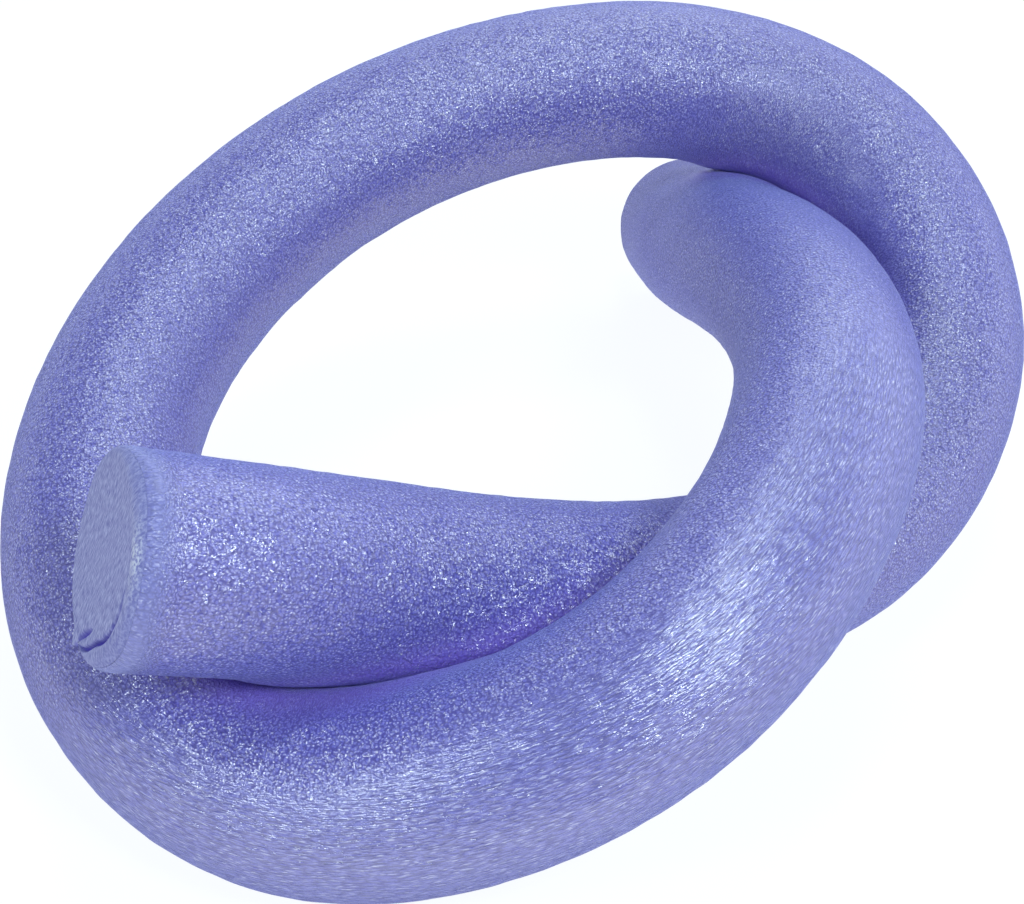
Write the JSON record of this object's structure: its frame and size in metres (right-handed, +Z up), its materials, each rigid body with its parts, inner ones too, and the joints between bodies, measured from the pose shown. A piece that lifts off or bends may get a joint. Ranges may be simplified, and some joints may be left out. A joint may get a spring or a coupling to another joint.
{
  "type": "pool noodle",
  "caption": "Solid foam pool noodle tied in a loose overhand knot and lying on the floor, with a glossy skin over a light foam core and plain sawn ends.",
  "frame": {"origin": "on the floor, under the middle of the knotted noodle's box", "axes": "+Z up, -Y towards the front where the cut end and the two crossing strands show, +X to the right as seen from the front"},
  "size_m": [0.3823, 0.4312, 0.1612],
  "materials": {
    "cut_foam": "matte",
    "foam_skin": "satin"
  },
  "bodies": {
    "root": {"foam_core": "cut_foam", "foam_skin": "foam_skin"}
  },
  "joints": []
}
